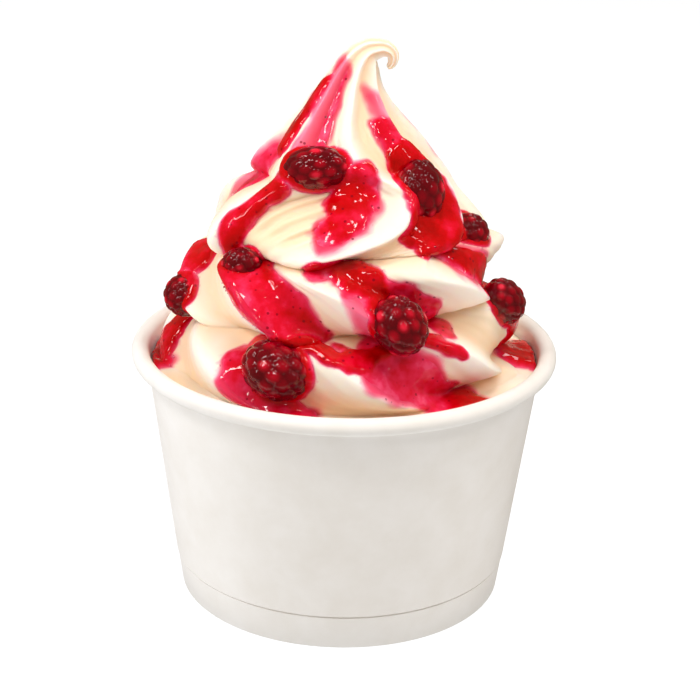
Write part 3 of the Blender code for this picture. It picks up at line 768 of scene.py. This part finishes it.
def add_sauce_ramp(tree, depth_socket):
    """Colour of the yogurt seen through a depth of sauce."""
    share = add_node(tree, "ShaderNodeMath", {"operation": "DIVIDE"}, {0: depth_socket, 1: SAUCE_DEEPEST})
    node = add_node(tree, "ShaderNodeValToRGB", inputs={"Fac": share.outputs[0]})
    elements = node.color_ramp.elements
    while len(elements) < len(RAMP_DEPTHS):
        elements.new(0.5)
    for element, seen_depth in zip(elements, RAMP_DEPTHS):
        element.position = seen_depth / SAUCE_DEEPEST
        colour = linear_colour(YOGURT_COLOUR)
        element.color = (*(c * math.exp(-a * seen_depth) for c, a in zip(colour, SAUCE_ABSORPTION)), 1.0)
    return node


def add_seeds(tree, place, depth_socket, colour_socket):
    """Mixes in the tiny seeds and shreds of skin that hang in the sauce, about one in each 2 mm."""
    cells = add_node(tree, "ShaderNodeTexVoronoi", inputs={
        "Vector": place.outputs["Object"],
        "Scale": 1 / SEED_SPACING,
    })
    speck = add_node(tree, "ShaderNodeMapRange", {"interpolation_type": "SMOOTHSTEP"}, {
        "Value": cells.outputs["Distance"],
        "From Min": 0.2,
        "From Max": 0.1,
    })
    chosen = add_node(tree, "ShaderNodeSeparateColor", inputs={"Color": cells.outputs["Color"]})
    some = add_node(tree, "ShaderNodeMath", {"operation": "GREATER_THAN"},
                    {0: chosen.outputs[0], 1: SEEDLESS_SHARE})
    held = add_node(tree, "ShaderNodeMapRange", inputs={
        "Value": depth_socket,
        "From Min": 0.12,
        "From Max": 0.3,
    })
    shown = speck.outputs[0]
    for share in (some.outputs[0], held.outputs[0], SEED_STRENGTH):
        shown = add_node(tree, "ShaderNodeMath", {"operation": "MULTIPLY"}, {0: shown, 1: share}).outputs[0]
    return add_node(tree, "ShaderNodeMix", {"data_type": "RGBA"}, {
        0: shown,
        6: colour_socket,
        7: linear_colour("7a0014"),
    })


def make_yogurt():
    """Soft-served frozen yogurt: cold and matt, light sinks in and comes back warm, wet where stained.
    Painted warm shade darkens its valleys, creases and combed grooves.
    """
    material, tree = new_material("vanilla frozen yogurt, soft-served")
    place = add_node(tree, "ShaderNodeTexCoord")
    film = add_node(tree, "ShaderNodeAttribute", {"attribute_name": "film"})
    shade = add_node(tree, "ShaderNodeAttribute", {"attribute_name": "hollow"})
    stained = add_sauce_ramp(tree, film.outputs["Fac"])
    # Painted shade: the hollow mask multiplies a warm, darker tint into valleys, creases and combed grooves
    warm = add_node(tree, "ShaderNodeMix", {"data_type": "RGBA", "blend_type": "MULTIPLY"}, {
        0: shade.outputs["Fac"],
        6: stained.outputs["Color"],
        7: linear_colour("fbe5ca"),
    })
    seeded = add_seeds(tree, place, film.outputs["Fac"], warm.outputs[2])
    # Ice crystals are about 0.05 mm, and are drawn 0.9 mm across as a soft unevenness
    crystals = add_node(tree, "ShaderNodeTexNoise", inputs={
        "Vector": place.outputs["Object"],
        "Scale": 1 / (0.9 * MM),
        "Detail": 3.0,
    })
    relief = add_node(tree, "ShaderNodeBump", inputs={
        "Height": crystals.outputs["Fac"],
        "Strength": 0.25,
        "Distance": 0.06 * MM,
    })
    wet = add_node(tree, "ShaderNodeMapRange", inputs={
        "Value": film.outputs["Fac"],
        "From Min": 0.05,
        "From Max": 0.5,
        "To Min": 0.42,
        "To Max": 0.14,
    })
    shader = add_node(tree, "ShaderNodeBsdfPrincipled", inputs={
        "Base Color": seeded.outputs[2],
        "Normal": relief.outputs["Normal"],
        "Roughness": wet.outputs[0],
        "IOR": 1.38,
        "Subsurface Weight": 0.6,
        "Subsurface Radius": (1.0, 0.68, 0.48),
        "Subsurface Scale": 1.5 * MM,
    })
    add_node(tree, "ShaderNodeOutputMaterial", inputs={"Surface": shader.outputs["BSDF"]})
    return material


yogurt_cream = make_yogurt()
bm = swirl.copy()
bmesh.ops.scale(bm, vec=(MM, MM, MM), verts=bm.verts)
finish_piece(bm, "yogurt_soft_serve", yogurt_cream, ["yogurt_swirl"])

# Thick sauce
# Where the sauce is deep enough to stand up it is a rounded, very glossy layer of its own, which bridges the
# creases. Its edges sink into the yogurt.
SAUCE_SHOWS_AT = 0.75
SAUCE_SUNK = -0.3
SAUCE_RELIEF = 0.75
SAUCE_THICKEST = 1.5
SAUCE_WALL = 0.5
SAUCE_SMOOTHING = 12


def make_sauce():
    """Berry sauce, boiled and strained: a clear dark gel with seeds in it, as glossy as glass."""
    material, tree = new_material("berry sauce, glossy gel")
    place = add_node(tree, "ShaderNodeTexCoord")
    depth_here = add_node(tree, "ShaderNodeAttribute", {"attribute_name": "film"})
    clots = add_node(tree, "ShaderNodeTexNoise", inputs={
        "Vector": place.outputs["Object"],
        "Scale": 1 / (3.2 * MM),
        "Detail": 3.0,
    })
    uneven_depth = add_node(tree, "ShaderNodeMapRange", inputs={
        "Value": clots.outputs["Fac"],
        "From Min": 0.3,
        "From Max": 0.7,
        "To Min": 0.7,
        "To Max": 1.5,
    })
    seen = add_node(tree, "ShaderNodeMath", {"operation": "MULTIPLY"},
                    {0: depth_here.outputs["Fac"], 1: uneven_depth.outputs[0]})
    colour = add_sauce_ramp(tree, seen.outputs[0])
    seeded = add_seeds(tree, place, depth_here.outputs["Fac"], colour.outputs["Color"])
    ripples = add_node(tree, "ShaderNodeTexNoise", inputs={
        "Vector": place.outputs["Object"],
        "Scale": 1 / (2.6 * MM),
        "Detail": 0.6,
    })
    relief = add_node(tree, "ShaderNodeBump", inputs={
        "Height": ripples.outputs["Fac"],
        "Strength": 0.8,
        "Distance": 0.5 * MM,
    })
    shader = add_node(tree, "ShaderNodeBsdfPrincipled", inputs={
        "Base Color": seeded.outputs[2],
        "Normal": relief.outputs["Normal"],
        "Roughness": 0.06,
        "IOR": 1.42,
    })
    add_node(tree, "ShaderNodeOutputMaterial", inputs={"Surface": shader.outputs["BSDF"]})
    return material


berry_sauce = make_sauce()
bm = swirl
film_layer = bm.verts.layers.float["film"]
bm.normal_update()
lifts = []
for vert in bm.verts:
    raised = SAUCE_RELIEF * (vert[film_layer] - SAUCE_SHOWS_AT)
    lifts.append(vert.normal * float(np.clip(raised, SAUCE_SUNK, SAUCE_THICKEST)))
for vert, lift in zip(bm.verts, lifts):
    vert.co += lift
inner = [vert for vert in bm.verts if vert[film_layer] > SAUCE_SHOWS_AT]
for _ in range(SAUCE_SMOOTHING):
    bmesh.ops.smooth_vert(bm, verts=inner, factor=0.5, use_axis_x=True, use_axis_y=True, use_axis_z=True)
dry = [face for face in bm.faces
       if all(vert[film_layer] < SAUCE_SHOWS_AT + SAUCE_SUNK for vert in face.verts)]
bmesh.ops.delete(bm, geom=dry, context="FACES")
bmesh.ops.scale(bm, vec=(MM, MM, MM), verts=bm.verts)
sauce = finish_piece(bm, "berry_sauce_runs", berry_sauce, [])
wall = sauce.modifiers.new("sauce wall", "SOLIDIFY")
wall.thickness = SAUCE_WALL * MM
wall.offset = -1.0

# Berries
# Whole berries stirred into the sauce and spooned on top: a knobbly ball of drupelets, soaked dark and coated
# with sauce, which fills the gaps between the drupelets and shines.
DRUPELETS = 60
DRUPELET_REACH = 0.27
DRUPELET_DEPTH = 0.11
DRUPELET_ROUNDNESS = 0.92
DRUPELET_SCATTER = 0.07
# Each drupelet's tone is its own random tone, darker towards the gaps, partly for the sauce there and partly
# as painted shade, with a painted glow at its middle
GAP_TONE = 0.12
DOME_TONE = 0.3
SPOT_TONE = 0.7  # the bright spot where light shines through a drupelet's middle
SPOT_SHARPNESS = 1.2
BERRY_SUBDIVISIONS = 6
BERRY_SEED = 11


def make_berry_skin():
    """Soaked berry skin under sauce: crimson drupelets with a painted glow at their middles, nearly black
    wine in the gaps, partly sauce and partly painted shade.
    """
    material, tree = new_material("soaked berry, sauce coated")
    place = add_node(tree, "ShaderNodeTexCoord")
    tone = add_node(tree, "ShaderNodeAttribute", {"attribute_name": "tone"})
    colour = add_node(tree, "ShaderNodeValToRGB", inputs={"Fac": tone.outputs["Fac"]})
    stops = ((0.0, "3e0007"), (0.3, "70000e"), (0.65, "9c0016"), (1.0, "dc2038"))
    elements = colour.color_ramp.elements
    while len(elements) < len(stops):
        elements.new(0.5)
    for element, (position, hex_colour) in zip(elements, stops):
        element.position = position
        element.color = linear_colour(hex_colour)
    ripples = add_node(tree, "ShaderNodeTexNoise", inputs={
        "Vector": place.outputs["Object"],
        "Scale": 1 / (2.1 * MM),
        "Detail": 1.0,
    })
    relief = add_node(tree, "ShaderNodeBump", inputs={
        "Height": ripples.outputs["Fac"],
        "Strength": 0.7,
        "Distance": 0.5 * MM,
    })
    shader = add_node(tree, "ShaderNodeBsdfPrincipled", inputs={
        "Base Color": colour.outputs["Color"],
        "Normal": relief.outputs["Normal"],
        "Roughness": 0.07,
        "IOR": 1.42,
    })
    add_node(tree, "ShaderNodeOutputMaterial", inputs={"Surface": shader.outputs["BSDF"]})
    return material


def drupelet_centres(draw):
    """Directions of the drupelets, spread over the berry by the golden angle and then a little scattered."""
    golden = math.pi * (3 - math.sqrt(5))
    centres = []
    for i in range(DRUPELETS):
        z = 1 - 2 * (i + 0.5) / DRUPELETS
        ring = math.sqrt(1 - z * z)
        stray = Vector(draw.uniform(-DRUPELET_SCATTER, DRUPELET_SCATTER) for _ in range(3))
        even = Vector((ring * math.cos(golden * i), ring * math.sin(golden * i), z))
        centres.append((even + stray).normalized())
    return np.array(centres)


berry_skin = make_berry_skin()
draw = random.Random(BERRY_SEED)
for name, (berry_azimuth, berry_height, lift, half_lengths, turn) in BERRIES.items():
    centres = drupelet_centres(draw)
    tones = np.array([draw.random() for _ in range(DRUPELETS)])
    bm = bmesh.new()
    bmesh.ops.create_icosphere(bm, subdivisions=BERRY_SUBDIVISIONS, radius=1.0)
    tone_layer = bm.verts.layers.float.new("tone")
    directions = np.array([vert.co.normalized() for vert in bm.verts])
    closeness = directions @ centres.T
    nearest = closeness.argmax(1)
    aside = np.minimum(1.0, np.arccos(np.clip(closeness.max(1), -1, 1)) / DRUPELET_REACH)
    dome = np.sqrt(1 - DRUPELET_ROUNDNESS * aside**2)
    size = 1 - DRUPELET_DEPTH * (1 - dome)
    # Painted glow at each drupelet's middle and painted shade towards the gaps, on top of its random tone
    spot = SPOT_TONE * ease(SPOT_SHARPNESS * (1 - aside))
    drupelet_tone_and_painted_light = GAP_TONE + DOME_TONE * dome * tones[nearest] + spot * tones[nearest] ** 2
    drupelet_tone_and_painted_light = np.clip(drupelet_tone_and_painted_light, 0, 1)
    sizes = np.array([half_lengths[0], half_lengths[2], half_lengths[1]])
    placed = directions * size[:, None] * sizes
    for vert, co, tone in zip(bm.verts, placed, drupelet_tone_and_painted_light):
        vert.co = co
        vert[tone_layer] = tone
    bmesh.ops.smooth_vert(bm, verts=bm.verts, factor=0.5, use_axis_x=True, use_axis_y=True, use_axis_z=True)
    bmesh.ops.transform(bm, matrix=berry_place(berry_azimuth, berry_height, lift, turn), verts=bm.verts)
    bmesh.ops.scale(bm, vec=(MM, MM, MM), verts=bm.verts)
    finish_piece(bm, "sauced_" + name, berry_skin, [name])
